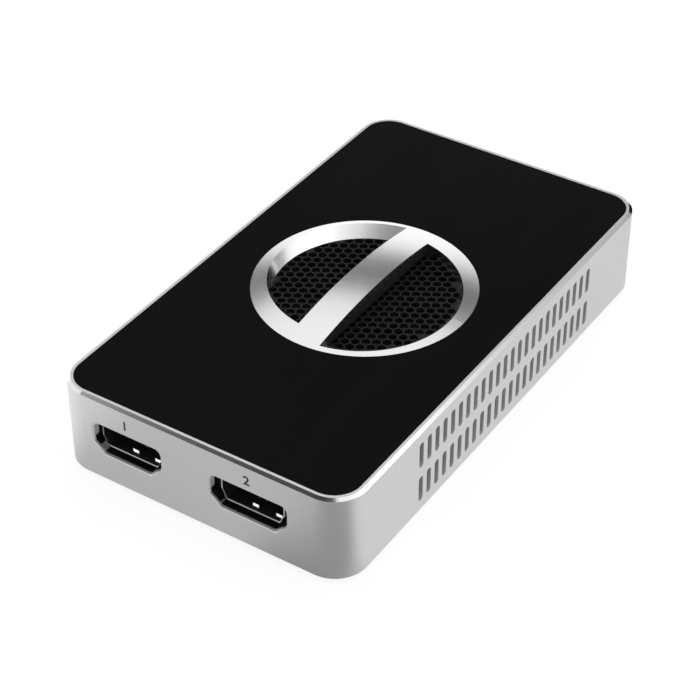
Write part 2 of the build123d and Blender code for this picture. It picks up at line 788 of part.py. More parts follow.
with BuildPart() as usb_insulator:
    with BuildSketch(usb_plane):
        with Locations((usb_x, usb_z + usb_wall)):
            add(usb_outline(usb_inner_width, usb_inner_height, usb_corner - usb_wall))
    extrude(amount=usb_depth)
    with BuildSketch(usb_plane):
        with BuildLine():
            half = usb_mouth_width / 2
            step = usb_step_width / 2
            roof_line = mouth_z + usb_mouth_height
            Polyline((usb_x - half, mouth_z), (usb_x + half, mouth_z),
                     (usb_x + half, roof_line - usb_mouth_chamfer),
                     (usb_x + half - usb_mouth_chamfer, roof_line), (usb_x + step, roof_line),
                     (usb_x + step, roof_line + usb_step_height), (usb_x - step, roof_line + usb_step_height),
                     (usb_x - step, roof_line), (usb_x - half + usb_mouth_chamfer, roof_line),
                     (usb_x - half, roof_line - usb_mouth_chamfer), close=True)
        make_face()
        with Locations((usb_x, mouth_z + usb_tongue_rise + usb_tongue_height / 2)):
            Rectangle(usb_tongue_width, usb_tongue_height, mode=Mode.SUBTRACT)
    extrude(amount=usb_depth - usb_back, mode=Mode.SUBTRACT)
    with BuildSketch(usb_plane):
        with Locations((usb_x, mouth_z + usb_tongue_rise + usb_tongue_height / 2)):
            Rectangle(usb_tongue_width, usb_tongue_height)
    extrude(amount=usb_depth - usb_back - usb_tongue_length, mode=Mode.SUBTRACT)
usb_insulator.part.label = "usb_insulator"
export_step(usb_insulator.part, "parts/usb_insulator.step")

usb_pin_y = usb_face_y - (usb_depth - usb_back) + usb_tongue_length / 2
with BuildPart() as usb_contacts:
    for face_z, thick in ((mouth_z + usb_tongue_rise, -usb_contact_gauge),
                          (mouth_z + usb_tongue_rise + usb_tongue_height, usb_contact_gauge)):
        with BuildSketch(Plane.XY.offset(face_z)):
            with Locations((usb_x, usb_pin_y)):
                with GridLocations(usb_contact_spacing, usb_tongue_length, usb_pin_count, 1):
                    Rectangle(usb_pin_width, usb_tongue_length)
        extrude(amount=thick)
usb_contacts.part.label = "usb_contacts"
export_step(usb_contacts.part, "parts/usb_contacts.step")

# Audio sockets: a body on the board and a round nose in the rear wall
jack_body_y = half_length - wall - part_gap
for name, jack_x in zip(("mic", "line"), jack_xs):
    with BuildPart() as jack:
        with BuildSketch(Plane.XZ.offset(-jack_body_y)):
            with Locations((jack_x, jack_z)):
                Rectangle(jack_width, jack_height)
        extrude(amount=jack_depth)
        chamfer(jack.edges().filter_by(Axis.Y).group_by(Axis.Z)[-1], slide_gap)
        with BuildSketch(Plane.XZ.offset(-jack_body_y)):
            with Locations((jack_x, jack_z)):
                Circle(jack_nose_radius)
        extrude(amount=jack_body_y - jack_face_y)
        with BuildSketch(Plane.XZ.offset(-jack_face_y)):
            with Locations((jack_x, jack_z)):
                Circle(jack_bore_radius)
        extrude(amount=jack_bore_depth, mode=Mode.SUBTRACT)
    jack.part.label = f"{name}_jack"
    export_step(jack.part, f"parts/{name}_jack.step")

# Status light on the board and the pipe that takes it through the rear wall
led_y = (board_length - led_depth) / 2
pipe_y = board_length / 2 + slide_gap
with BuildPart() as indicator_led:
    with BuildSketch(Plane.XY.offset(board_top_z)):
        with Locations((led_x, led_y)):
            Rectangle(led_width, led_depth)
    extrude(amount=led_height)
indicator_led.part.label = "indicator_led"
export_step(indicator_led.part, "parts/indicator_led.step")

with BuildPart() as light_pipe:
    with BuildSketch(Plane.XZ.offset(-pipe_y)):
        with Locations((led_x, board_top_z + led_height / 2)):
            Circle(pipe_radius)
    extrude(amount=pipe_y - half_length)
light_pipe.part.label = "light_pipe"
export_step(light_pipe.part, "parts/light_pipe.step")

# Fan frame: square ring, bottom plate on four struts, and the bearing tube
with BuildPart() as fan_frame:
    with BuildSketch(Plane.XY.offset(fan_z)):
        RectangleRounded(fan_size, fan_size, fan_corner)
        Circle(fan_bore_radius, mode=Mode.SUBTRACT)
        with GridLocations(fan_hole_span, fan_hole_span, 2, 2):
            Circle(fan_hole_radius, mode=Mode.SUBTRACT)
    extrude(amount=fan_height)
    with BuildSketch(Plane.XY.offset(fan_z)):
        Circle(fan_plate_radius)
        strut_reach = fan_bore_radius + part_gap
        with PolarLocations(strut_reach / 2, strut_count):
            Rectangle(strut_reach, strut_width)
    extrude(amount=fan_plate)
    with BuildSketch(Plane.XY.offset(fan_z + fan_plate)):
        Circle(bearing_tube_radius)
    extrude(amount=bearing_length - fan_plate + part_gap)
    with BuildSketch(Plane.XY.offset(fan_z + part_gap)):
        Circle(bearing_radius)
    extrude(amount=fan_height, mode=Mode.SUBTRACT)
fan_frame.part.label = "fan_frame"
export_step(fan_frame.part, "parts/fan_frame.step")

# Sleeve bearing in the tube
with BuildPart() as fan_bearing:
    with BuildSketch(Plane.XY.offset(fan_z + part_gap)):
        Circle(bearing_radius)
        Circle(shaft_radius + bearing_gap, mode=Mode.SUBTRACT)
    extrude(amount=bearing_length)
fan_bearing.part.label = "fan_bearing"
export_step(fan_bearing.part, "parts/fan_bearing.step")

# Rotor: a cup with seven cambered, twisted blades
hub_top_z = fan_top_z - hub_top_gap
hub_low_z = fan_z + fan_plate + circuit_thickness + part_gap
blade_root = hub_radius - blade_sink
blade_tip = fan_bore_radius - blade_tip_gap
blade_mid_z = (hub_top_z + hub_low_z) / 2


def blade_section(radius, chord, pitch):
    """The blade's curved section on a plane that stands square to its radius."""
    section_plane = Plane(origin=(radius, 0, blade_mid_z), x_dir=(0, 1, 0), z_dir=(1, 0, 0))
    with BuildSketch(section_plane.rotated((0, 0, pitch)), mode=Mode.PRIVATE) as section:
        with BuildLine():
            ThreePointArc((-chord / 2, 0), (0, blade_camber), (chord / 2, 0))
            Line((chord / 2, 0), (chord / 2, -blade_thickness / 2))
            ThreePointArc((chord / 2, -blade_thickness / 2), (0, blade_camber - blade_thickness),
                          (-chord / 2, -blade_thickness / 2))
            Line((-chord / 2, -blade_thickness / 2), (-chord / 2, 0))
        make_face()
    return section.sketch


with BuildPart(mode=Mode.PRIVATE) as blade:
    add(blade_section(blade_root, blade_chord_root, blade_pitch_root))
    add(blade_section(blade_tip, blade_chord_tip, blade_pitch_tip))
    loft()
    with BuildSketch(Plane.XY.offset(fan_z)):
        Circle(blade_tip)
    extrude(amount=fan_height, mode=Mode.INTERSECT)
with BuildPart() as fan_rotor:
    with BuildSketch(Plane.XY.offset(hub_low_z)):
        Circle(hub_radius)
    extrude(amount=hub_top_z - hub_low_z)
    fillet(fan_rotor.edges().group_by(Axis.Z)[-1], hub_fillet)
    with PolarLocations(0, blade_count):
        add(blade.part)
    with BuildSketch(Plane.XY.offset(hub_low_z)):
        Circle(hub_radius - hub_wall)
    extrude(amount=hub_top_z - hub_wall - hub_low_z, mode=Mode.SUBTRACT)
    with BuildSketch(Plane.XY.offset(hub_top_z - hub_wall)):
        Circle(hub_boss_radius)
    extrude(amount=-hub_boss_height)
    with BuildSketch(Plane.XY.offset(hub_top_z - hub_wall - hub_boss_height)):
        Circle(shaft_radius)
    extrude(amount=hub_boss_height, mode=Mode.SUBTRACT)
fan_rotor.part.label = "fan_rotor"
export_step(fan_rotor.part, "parts/fan_rotor.step")

# Shaft, pressed into the rotor's boss
with BuildPart() as fan_shaft:
    with BuildSketch(Plane.XY.offset(fan_z + 2 * part_gap)):
        Circle(shaft_radius)
    extrude(amount=hub_top_z - hub_wall - fan_z - 2 * part_gap)
fan_shaft.part.label = "fan_shaft"
export_step(fan_shaft.part, "parts/fan_shaft.step")

# Ring magnet inside the rotor's cup
magnet_outer = hub_radius - hub_wall
with BuildPart() as fan_magnet:
    with BuildSketch(Plane.XY.offset(hub_low_z + slide_gap)):
        Circle(magnet_outer)
        Circle(magnet_outer - magnet_thickness, mode=Mode.SUBTRACT)
    extrude(amount=magnet_height)
fan_magnet.part.label = "fan_magnet"
export_step(fan_magnet.part, "parts/fan_magnet.step")

# Stator core on the bearing tube: four poles with curved shoes
stator_radius = magnet_outer - magnet_thickness - stator_gap
stator_z = fan_z + fan_plate + circuit_thickness + stator_lift
with BuildPart() as fan_stator:
    with BuildSketch(Plane.XY.offset(stator_z)):
        Circle(stator_radius)
        Circle(stator_radius - pole_shoe, mode=Mode.SUBTRACT)
        with PolarLocations(stator_radius, pole_count, start_angle=180 / pole_count):
            Rectangle(2 * stator_radius / pole_count, pole_width, mode=Mode.SUBTRACT)
        Circle(stator_core_radius)
        with PolarLocations(stator_radius / 2, pole_count):
            Rectangle(stator_radius - pole_shoe / 2, pole_width)
        Circle(bearing_tube_radius, mode=Mode.SUBTRACT)
    extrude(amount=stator_height)
fan_stator.part.label = "fan_stator"
export_step(fan_stator.part, "parts/fan_stator.step")

# Copper windings round each pole
coil_room = stator_radius - pole_shoe - stator_core_radius
with BuildPart() as fan_windings:
    for turn in range(pole_count):
        pole_plane = Plane.YZ.rotated((0, 0, turn * 360 / pole_count))
        with BuildSketch(pole_plane.offset(stator_core_radius + slide_gap)):
            with Locations((0, stator_z + stator_height / 2)):
                RectangleRounded(pole_width + 2 * coil_wall, stator_height + coil_wall, coil_wall / 2)
                Rectangle(pole_width, stator_height, mode=Mode.SUBTRACT)
        extrude(amount=coil_room - 2 * slide_gap)
fan_windings.part.label = "fan_windings"
export_step(fan_windings.part, "parts/fan_windings.step")

# Drive circuit on the fan's bottom plate
with BuildPart() as fan_circuit:
    with BuildSketch(Plane.XY.offset(fan_z + fan_plate)):
        Circle(circuit_radius)
        Circle(bearing_tube_radius, mode=Mode.SUBTRACT)
    extrude(amount=circuit_thickness)
fan_circuit.part.label = "fan_circuit"
export_step(fan_circuit.part, "parts/fan_circuit.step")

# Screws that hold the fan and the grille frame to the roof
fan_screw_length = fan_height + frame_height + fan_screw_bite
fan_screw = pan_screw(fan_screw_radius, fan_screw_length, fan_screw_head_radius,
                      fan_screw_head, drive_radius, drive_depth)
with BuildPart() as fan_screws:
    with Locations(Plane.XY.offset(fan_z).rotated((180, 0, 0))):
        with GridLocations(fan_hole_span, fan_hole_span, 2, 2):
            add(fan_screw)
fan_screws.part.label = "fan_screws"
export_step(fan_screws.part, "parts/fan_screws.step")

# Main chip, its heat pad and the heat sink
with BuildPart() as main_chip:
    with BuildSketch(Plane.XY.offset(board_top_z)):
        Rectangle(chip_size, chip_size)
    extrude(amount=chip_height)
main_chip.part.label = "main_chip"
export_step(main_chip.part, "parts/main_chip.step")

with BuildPart() as thermal_pad:
    with BuildSketch(Plane.XY.offset(board_top_z + chip_height)):
        Rectangle(chip_size, chip_size)
    extrude(amount=pad_thickness)
thermal_pad.part.label = "thermal_pad"
export_step(thermal_pad.part, "parts/thermal_pad.step")

fin_pitch = (sink_length - fin_thickness) / (fin_count - 1)
fin_length = (sink_width - fan_size) / 2 - fin_gap
with BuildPart() as heat_sink:
    with BuildSketch(Plane.XY.offset(sink_z)):
        Rectangle(sink_width, sink_length)
        with GridLocations(fan_hole_span, fan_hole_span, 2, 2):
            Circle(fan_screw_head_radius + part_gap, mode=Mode.SUBTRACT)
    extrude(amount=sink_base)
    with BuildSketch(Plane.XY.offset(sink_top_z)):
        with GridLocations(sink_width - fin_length, fin_pitch, 2, fin_count):
            Rectangle(fin_length, fin_thickness)
    extrude(amount=fin_height)
    with BuildSketch(Plane.XY.offset(board_top_z)):
        with GridLocations(2 * sink_post_x, 2 * sink_post_y, 2, 2):
            Circle(sink_post_radius)
    extrude(amount=sink_z - board_top_z)
    with BuildSketch(Plane.XY.offset(board_top_z)):
        with GridLocations(2 * sink_post_x, 2 * sink_post_y, 2, 2):
            Circle(sink_screw_radius)
    extrude(amount=sink_screw_bite, mode=Mode.SUBTRACT)
heat_sink.part.label = "heat_sink"
export_step(heat_sink.part, "parts/heat_sink.step")

# Screws from under the board into the heat sink's posts
sink_screw = pan_screw(sink_screw_radius, board_thickness + sink_screw_bite, sink_screw_head_radius,
                       sink_screw_head, drive_radius, drive_depth)
with BuildPart() as sink_screws:
    with Locations(Plane.XY.offset(board_z).rotated((180, 0, 0))):
        with GridLocations(2 * sink_post_x, 2 * sink_post_y, 2, 2):
            add(sink_screw)
sink_screws.part.label = "sink_screws"
export_step(sink_screws.part, "parts/sink_screws.step")


def board_places(shares):
    """Places on the board, from shares of its width and length."""
    return [(x * board_width, y * board_length) for x, y in shares]


# Memory, support chips and the crystal
with BuildPart() as memory_chips:
    with BuildSketch(Plane.XY.offset(board_top_z)):
        with Locations(*board_places(memory_place_shares)):
            Rectangle(memory_width, memory_length)
    extrude(amount=memory_height)
memory_chips.part.label = "memory_chips"
export_step(memory_chips.part, "parts/memory_chips.step")

with BuildPart() as support_chips:
    with BuildSketch(Plane.XY.offset(board_top_z)):
        with Locations(*board_places(support_place_shares)):
            Rectangle(support_size, support_size)
    extrude(amount=support_height)
support_chips.part.label = "support_chips"
export_step(support_chips.part, "parts/support_chips.step")

with BuildPart() as crystal:
    with BuildSketch(Plane.XY.offset(board_top_z)):
        with Locations(*board_places(crystal_place_shares)):
            Rectangle(crystal_width, crystal_length)
    extrude(amount=crystal_height)
crystal.part.label = "crystal"
export_step(crystal.part, "parts/crystal.step")

# Capacitor cans and power coils
with BuildPart() as capacitors:
    with BuildSketch(Plane.XY.offset(board_top_z)):
        with Locations(*board_places(cap_place_shares)):
            Rectangle(2 * cap_radius, 2 * cap_radius)
    extrude(amount=cap_base)
    with BuildSketch(Plane.XY.offset(board_top_z + cap_base)):
        with Locations(*board_places(cap_place_shares)):
            Circle(cap_radius)
    extrude(amount=cap_height - cap_base)
capacitors.part.label = "capacitors"
export_step(capacitors.part, "parts/capacitors.step")

with BuildPart() as power_coils:
    with BuildSketch(Plane.XY.offset(board_top_z)):
        with Locations(*board_places(coil_place_shares)):
            RectangleRounded(coil_size, coil_size, coil_corner)
    extrude(amount=coil_height)
power_coils.part.label = "power_coils"
export_step(power_coils.part, "parts/power_coils.step")

# Header on the board, open to the front, and the plug in it
header_z = board_top_z + header_height / 2
header_face_y = header_y - header_length / 2
plug_width = header_width - 2 * header_wall
plug_height = header_height - 2 * header_wall
plug_depth = header_length - header_wall
header_plane = Plane.XZ.offset(-header_face_y)
with BuildPart() as fan_header:
    with BuildSketch(header_plane):
        with Locations((header_x, header_z)):
            Rectangle(header_width, header_height)
    extrude(amount=-header_length)
    with BuildSketch(header_plane):
        with Locations((header_x, header_z)):
            Rectangle(plug_width, plug_height)
    extrude(amount=-plug_depth, mode=Mode.SUBTRACT)
fan_header.part.label = "fan_header"
export_step(fan_header.part, "parts/fan_header.step")

with BuildPart() as fan_plug:
    with BuildSketch(header_plane.offset(plug_reach)):
        with Locations((header_x, header_z)):
            Rectangle(plug_width, plug_height)
    extrude(amount=-plug_reach - plug_depth)
fan_plug.part.label = "fan_plug"
export_step(fan_plug.part, "parts/fan_plug.step")

# Fan lead: from the rear of the fan frame to the plug, on a route with wide bends
lead_points = [(-1.0, 20.0, 12.3), (-1.0, 22.8, 12.3), (-1.6, 25.5, 11.7), (-2.6, 27.7, 10.5),
               (-3.2, 29.9, 9.85), (-3.2, 32.4, 9.85)]
lead_runs = [Vector(*b) - Vector(*a) for a, b in zip(lead_points, lead_points[1:])]
lead_radii = []
for run, next_run in zip(lead_runs, lead_runs[1:]):
    turn = run.get_angle(next_run) * pi / 180
    lead_radii.append(lead_bend_share * min(run.length, next_run.length) / tan(turn / 2))
print("fan lead radii", [round(radius, 2) for radius in lead_radii])
with BuildPart() as fan_lead:
    with BuildLine() as lead_route:
        FilletPolyline(*lead_points, radius=lead_radii)
    with BuildSketch(Plane(origin=lead_points[0], z_dir=(0, 1, 0))):
        Circle(lead_radius)
    sweep(path=lead_route.wires()[0])
fan_lead.part.label = "fan_lead"
export_step(fan_lead.part, "parts/fan_lead.step")
print("fan lead volume over section times length",
      round(fan_lead.part.volume / (pi * lead_radius ** 2 * lead_route.wires()[0].length), 4))
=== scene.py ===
"""Looks of the video capture box: finishes, port numerals, studio and camera."""
import json
from math import cos, pi, sin

import bpy
from mathutils import Matrix, Vector


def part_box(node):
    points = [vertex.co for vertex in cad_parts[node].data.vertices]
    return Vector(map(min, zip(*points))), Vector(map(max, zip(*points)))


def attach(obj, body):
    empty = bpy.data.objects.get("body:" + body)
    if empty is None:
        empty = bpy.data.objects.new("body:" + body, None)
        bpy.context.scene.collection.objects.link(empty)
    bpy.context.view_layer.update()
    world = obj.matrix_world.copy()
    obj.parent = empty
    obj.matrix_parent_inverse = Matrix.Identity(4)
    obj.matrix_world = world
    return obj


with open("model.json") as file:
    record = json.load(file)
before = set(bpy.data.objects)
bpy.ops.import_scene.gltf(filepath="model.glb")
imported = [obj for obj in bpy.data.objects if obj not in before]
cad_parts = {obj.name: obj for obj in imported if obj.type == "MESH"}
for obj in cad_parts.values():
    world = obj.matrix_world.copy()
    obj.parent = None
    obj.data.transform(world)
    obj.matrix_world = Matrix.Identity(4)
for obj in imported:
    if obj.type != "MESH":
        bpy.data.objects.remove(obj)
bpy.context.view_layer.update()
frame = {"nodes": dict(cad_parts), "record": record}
nodes = frame["nodes"]
millimetre = 0.001
metre = 1 / millimetre

# Levels and places taken from the CAD nodes, in metres
housing_low, housing_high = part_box("housing")
in_low, in_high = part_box("hdmi_in_shell")
out_low, out_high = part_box("hdmi_out_shell")
front_y = housing_low.y
edge_z = housing_low.z


# Node trees written as sums

class Tone:
    """A number, colour or direction inside a node tree; arithmetic on it adds Math nodes."""

    def __init__(self, tree, socket):
        self.tree = tree
        self.socket = socket

    def maths(self, operation, *others):
        """A Math node on this value and the others."""
        inputs = dict(enumerate((self, *others)))
        return self.tree.step("ShaderNodeMath", {"operation": operation}, inputs)

    def __add__(self, other):
        return self.maths("ADD", other)

    def __radd__(self, other):
        return self + other

    def __sub__(self, other):
        return self.maths("SUBTRACT", other)

    def __rsub__(self, other):
        return self.tree.step("ShaderNodeMath", {"operation": "SUBTRACT"}, {0: other, 1: self})

    def __mul__(self, other):
        return self.maths("MULTIPLY", other)

    def __rmul__(self, other):
        return self * other

    def __truediv__(self, other):
        return self.maths("DIVIDE", other)

    def __pow__(self, other):
        return self.maths("POWER", other)

    def __gt__(self, other):
        return self.maths("GREATER_THAN", other)

    def __lt__(self, other):
        return self.maths("LESS_THAN", other)

    def __abs__(self):
        return self.maths("ABSOLUTE")

    def least(self, other):
        return self.maths("MINIMUM", other)

    def most(self, other):
        return self.maths("MAXIMUM", other)

    def swing(self, width):
        """Runs from half a width below 0 to half a width above it, as the value goes from 0 to 1."""
        return width * (self - 0.5)

    def ramp(self, start, end, low=0.0, high=1.0):
        """Runs smoothly from low to high as the value goes from start to end."""
        settings = {"interpolation_type": "SMOOTHSTEP"}
        inputs = {0: self, 1: start, 2: end, 3: low, 4: high}
        return self.tree.step("ShaderNodeMapRange", settings, inputs)


class Tree:
    """A material's or the world's nodes."""

    def __init__(self, tree):
        self.tree = tree
        tree.nodes.clear()

    def step(self, kind, settings=None, inputs=None, output=0):
        """Adds a node: its settings first, then the values or links of its sockets."""
        node = self.tree.nodes.new(kind)
        for name, value in (settings or {}).items():
            setattr(node, name, value)
        for name, value in (inputs or {}).items():
            if isinstance(value, Tone):
                self.tree.links.new(value.socket, node.inputs[name])
            else:
                node.inputs[name].default_value = value
        return Tone(self, node.outputs[output]) if node.outputs else node

    def mix(self, share, first, second):
        """Colour between first and second, at a share of the way."""
        inputs = {0: share, 6: first, 7: second}
        return self.step("ShaderNodeMix", {"data_type": "RGBA"}, inputs, output=2)

    def place(self):
        """Position on the object, in metres."""
        return self.step("ShaderNodeTexCoord", output="Object")

    def facing(self):
        """Direction that the surface faces."""
        return self.step("ShaderNodeTexCoord", output="Normal")

    def axes(self, vector):
        """The three numbers of a vector."""
        return [self.step("ShaderNodeSeparateXYZ", inputs={0: vector}, output=axis) for axis in "XYZ"]

    def stretched(self, vector, scale):
        return self.step("ShaderNodeMapping", inputs={"Vector": vector, "Scale": scale})

    def noise(self, size, detail=2.0, roughness=0.5, where=None):
        """Clouds of a size in millimetres."""
        inputs = {"Vector": where or self.place(), "Scale": 1 / (size * millimetre)}
        inputs.update({"Detail": detail, "Roughness": roughness})
        return self.step("ShaderNodeTexNoise", inputs=inputs)

    def cells(self, size):
        """Distance from the nearest point of a scatter, in cells of a size in millimetres."""
        inputs = {"Vector": self.place(), "Scale": 1 / (size * millimetre)}
        return self.step("ShaderNodeTexVoronoi", inputs=inputs)

    def bands(self, direction, pitch, distortion):
        """Waves side by side, at a pitch in millimetres."""
        settings = {"wave_type": "BANDS", "bands_direction": direction}
        inputs = {"Vector": self.place(), "Scale": 1 / (pitch * millimetre), "Distortion": distortion}
        return self.step("ShaderNodeTexWave", settings, inputs)

    def rays(self):
        """1 for a ray from the camera, off a glossy surface, or through a clear one."""
        kinds = ("Is Camera Ray", "Is Glossy Ray", "Is Transmission Ray")
        return [self.step("ShaderNodeLightPath", output=kind) for kind in kinds]


finishes = {}


class Finish(Tree):
    """One material with a Principled shader; constants go on the shader's own sockets."""

    def __init__(self, name, **constants):
        self.material = bpy.data.materials.new(name)
        self.material.use_nodes = True
        super().__init__(self.material.node_tree)
        self.shader = self.tree.nodes.new("ShaderNodeBsdfPrincipled")
        output = self.tree.nodes.new("ShaderNodeOutputMaterial")
        self.tree.links.new(self.shader.outputs[0], output.inputs[0])
        for constant, value in constants.items():
            socket = constant.replace("_", " ").title().replace("Ior", "IOR")
            self.shader.inputs[socket].default_value = value
        finishes[name] = self

    def wear(self, **tones):
        """Links what changes over the surface: colour, roughness, and so on."""
        for name, tone in tones.items():
            self.tree.links.new(tone.socket, self.shader.inputs[name.replace("_", " ").title()])

    def relief(self, height, depth):
        """Bump of a height between 0 and 1, depth being its full height in metres."""
        self.wear(normal=self.step("ShaderNodeBump", inputs={"Distance": depth, "Height": height}))


def grey(level):
    return (level, level, level, 1.0)


def colour(red, green, blue):
    return (red, green, blue, 1.0)


# Finishes, one for each slot of the record

def metal(name, tint, rough, grain=0.3, depth=0.004, cloud=12.0):
    """Metal with a fine grain of the given size and depth, in millimetres, and soft clouds."""
    grain_share = 0.45
    dark_share, light_share = 0.86, 1.12
    finish = Finish(name, metallic=1.0)
    fine = finish.noise(grain)
    soft = finish.noise(cloud, detail=3.0)
    shade = grain_share * fine + (1 - grain_share) * soft
    darker = [dark_share * level for level in tint]
    lighter = [min(1.0, light_share * level) for level in tint]
    finish.wear(base_color=finish.mix(shade, colour(*darker), colour(*lighter)),
                roughness=rough + soft.swing(0.06) + fine.swing(0.03))
    finish.relief(fine, depth * millimetre)


def plastic(name, tint, rough, grain=0.25, depth=0.006, cloud=9.0, contrast=0.2, **constants):
    """Moulded plastic, paint or ink: a fine skin over soft clouds of shade, sizes in millimetres."""
    finish = Finish(name, **constants)
    fine = finish.noise(grain, detail=3.0)
    soft = finish.noise(cloud)
    darker = [(1 - contrast) * level for level in tint]
    lighter = [(1 + contrast) * level for level in tint]
    finish.wear(base_color=finish.mix(0.5 * (fine + soft), colour(*darker), colour(*lighter)),
                roughness=rough + soft.swing(0.12) + fine.swing(0.08))
    finish.relief(fine, depth * millimetre)


def housing_finish():
    """Bead-blasted, clear anodised aluminium, its bevels cut bright and its openings left as milled, with
    painted shade on the floors of the port openings.
    """
    skin = 0.05 * millimetre
    rim_zone = 0.7 * millimetre
    corner_zone = 7.4 * millimetre
    port_zone = 50 * millimetre
    blast_depth = 0.012 * millimetre
    satin_dark, satin_light, satin_rough = 0.72, 0.84, 0.40
    bright_level, bright_rough = 0.86, 0.14
    milled_level, milled_rough = 0.70, 0.65
    port_wall_level, port_sill_painted_shade, port_metallic = 0.75, 0.26, 0.2
    blast_share, pit_share = 0.4, 0.25
    finish = Finish("satin_aluminium", metallic=1.0)
    across, along, up = [abs(axis) for axis in finish.axes(finish.place())]
    tilt = finish.axes(finish.facing())[2]

    corner = (across > housing_high.x - corner_zone) * (along > housing_high.y - corner_zone)
    behind_sides = (across < housing_high.x - skin) * (along < housing_high.y - skin)
    milled = behind_sides * (up < housing_high.z - rim_zone) * (1 - corner)
    port_side = milled * (along > port_zone)
    bevel = tilt.ramp(0.45, 0.6) * tilt.ramp(0.95, 0.985, 1.0, 0.0)
    # Upward-facing faces inside the port openings, which are given painted shade
    shaded_sill = tilt.ramp(0.2, 0.6)

    blast = finish.noise(size=0.22, roughness=0.7)
    pits = finish.cells(size=0.34)
    soft = finish.noise(size=16, detail=3.0)
    shade = blast_share * blast + pit_share * pits + (1 - blast_share - pit_share) * soft
    satin = finish.mix(shade, grey(satin_dark), grey(satin_light))
    cut = finish.mix(bevel, satin, grey(bright_level))
    # Port opening walls in light milled grey; their floors darkened as painted shade
    port = finish.mix(shaded_sill, grey(port_wall_level), grey(port_sill_painted_shade))
    satin_roughness = satin_rough + soft.swing(0.07) + blast.swing(0.05)
    cut_roughness = satin_roughness * (1 - bevel) + bright_rough * bevel
    finish.wear(base_color=finish.mix(port_side, finish.mix(milled, cut, grey(milled_level)), port),
                roughness=cut_roughness * (1 - milled) + milled_rough * milled,
                metallic=1 - (1 - port_metallic) * port_side)
    finish.relief((blast + pits) * (1 - 0.9 * bevel), blast_depth)


def guard_finish():
    """Satin turned aluminium: fine rings about the fan's axis on the dome and the bar."""
    ring_pitch = 0.12 * millimetre
    ring_depth = 0.0015 * millimetre
    finish = Finish("guard_aluminium", metallic=1.0)
    across, along, _ = finish.axes(finish.place())
    radius = (across * across + along * along) ** 0.5
    rings = finish.step("ShaderNodeTexNoise", {"noise_dimensions": "1D"},
                        {"W": radius, "Scale": 1 / ring_pitch, "Detail": 3.0, "Roughness": 0.75})
    grain = finish.noise(size=0.2)
    soft = finish.noise(size=7)
    shade = 0.5 * rings + 0.3 * grain + 0.2 * soft
    finish.wear(base_color=finish.mix(shade, grey(0.79), grey(0.88)),
                roughness=0.225 + rings.swing(0.04) + soft.swing(0.02))
    finish.relief(0.7 * rings + 0.3 * grain, ring_depth)


def panel_finish():
    """Smooth black cover: a slight swell of the surface, faint wiping marks and a little dust."""
    swell_depth = 0.0015 * millimetre
    wiping_scale = (90.0, 25.0, 90.0)
    finish = Finish("black_panel", specular_ior_level=0.03)
    swell = finish.noise(size=6, detail=1.0)
    wiped = finish.noise(size=metre, detail=4.0, where=finish.stretched(finish.place(), wiping_scale))
    dust = finish.cells(size=2.4).ramp(0.05, 0.02)
    finish.wear(base_color=finish.mix(0.5 * (wiped + dust), grey(0.0034), grey(0.0050)),
                roughness=0.3 + wiped.swing(0.08) + 0.1 * dust)
    finish.relief(swell, swell_depth)


def board_finish():
    """Black solder mask over faint copper tracks, with small round vias."""
    track_depth = 0.03 * millimetre
    mask_black = colour(0.008, 0.008, 0.009)
    track_black = colour(0.018, 0.018, 0.021)
    tinned = colour(0.42, 0.40, 0.30)
    finish = Finish("board", specular_ior_level=0.5)
    bend = finish.noise(size=9, detail=0.0)
    lanes = finish.bands("DIAGONAL", pitch=4.2, distortion=1.2)
    tracks = lanes.ramp(0.55, 0.6) * bend.ramp(0.46, 0.5)
    vias = finish.cells(size=3.1).ramp(0.16, 0.12)
    mask = finish.mix(tracks, mask_black, track_black)
    finish.wear(base_color=finish.mix(vias, mask, tinned),
                roughness=0.36 - 0.08 * tracks + bend.swing(0.05))
    finish.relief(tracks + 0.5 * vias, track_depth)


def connector_finish():
    """Tinned steel sheet: its inner faces painted dark as shade, its outward edges lighter, and painted
    glints on the tips of its springs.
    """
    roll_reach = 20 * millimetre
    spring_depth = 2.4 * millimetre
    spring_glint_level = 0.97
    finish = Finish("connector_shell", metallic=1.0)
    outward = abs(finish.axes(finish.facing())[1]).ramp(0.6, 0.9)
    _, along, up = finish.axes(finish.place())
    depth = housing_high.y - abs(along)
    fine = finish.noise(size=0.2)
    soft = finish.noise(size=4)
    # Inner faces painted dark: painted shade inside the shell
    inner_painted_shade = finish.mix(0.5 * (fine + soft), grey(0.08), grey(0.12))
    rim = finish.mix(fine, grey(0.30), grey(0.36))
    # Deep outward faces, the tips of the springs, painted near white as glints
    edge_with_painted_glints = finish.mix(depth > spring_depth, rim, grey(spring_glint_level))
    finish.wear(base_color=finish.mix(outward, inner_painted_shade, edge_with_painted_glints),
                roughness=0.5 - 0.2 * outward + soft.swing(0.06))
    # The sheet's edges and the tips of its springs are rolled, so they look upwards
    finish.relief(outward * (1 - up / roll_reach) + 0.0001 * fine, roll_reach)


def winding_finish():
    """Enamelled copper wire, wound side by side."""
    turn_depth = 0.06 * millimetre
    dark_copper = colour(0.30, 0.10, 0.04)
    light_copper = colour(0.78, 0.34, 0.15)
    finish = Finish("copper_wire", metallic=1.0)
    turns = finish.bands("X", pitch=3.2, distortion=0.4)
    soft = finish.noise(size=1.5)
    finish.wear(base_color=finish.mix(0.6 * turns + 0.4 * soft, dark_copper, light_copper),
                roughness=0.32 + soft.swing(0.1))
    finish.relief(turns, turn_depth)


def laminated_finish():
    """Stacked steel sheets: thin level lines round the core."""
    sheet_pitch = 0.35 * millimetre
    seam_depth = 0.02 * millimetre
    finish = Finish("laminations", metallic=1.0)
    up = finish.axes(finish.place())[2]
    sheets = (up * (2 * pi / sheet_pitch)).maths("SINE")
    fine = finish.noise(size=0.2)
    finish.wear(base_color=finish.mix(0.5 + 0.35 * sheets + fine.swing(0.3), grey(0.2), grey(0.46)),
                roughness=0.42 + fine.swing(0.1))
    finish.relief(0.5 + 0.5 * sheets, seam_depth)


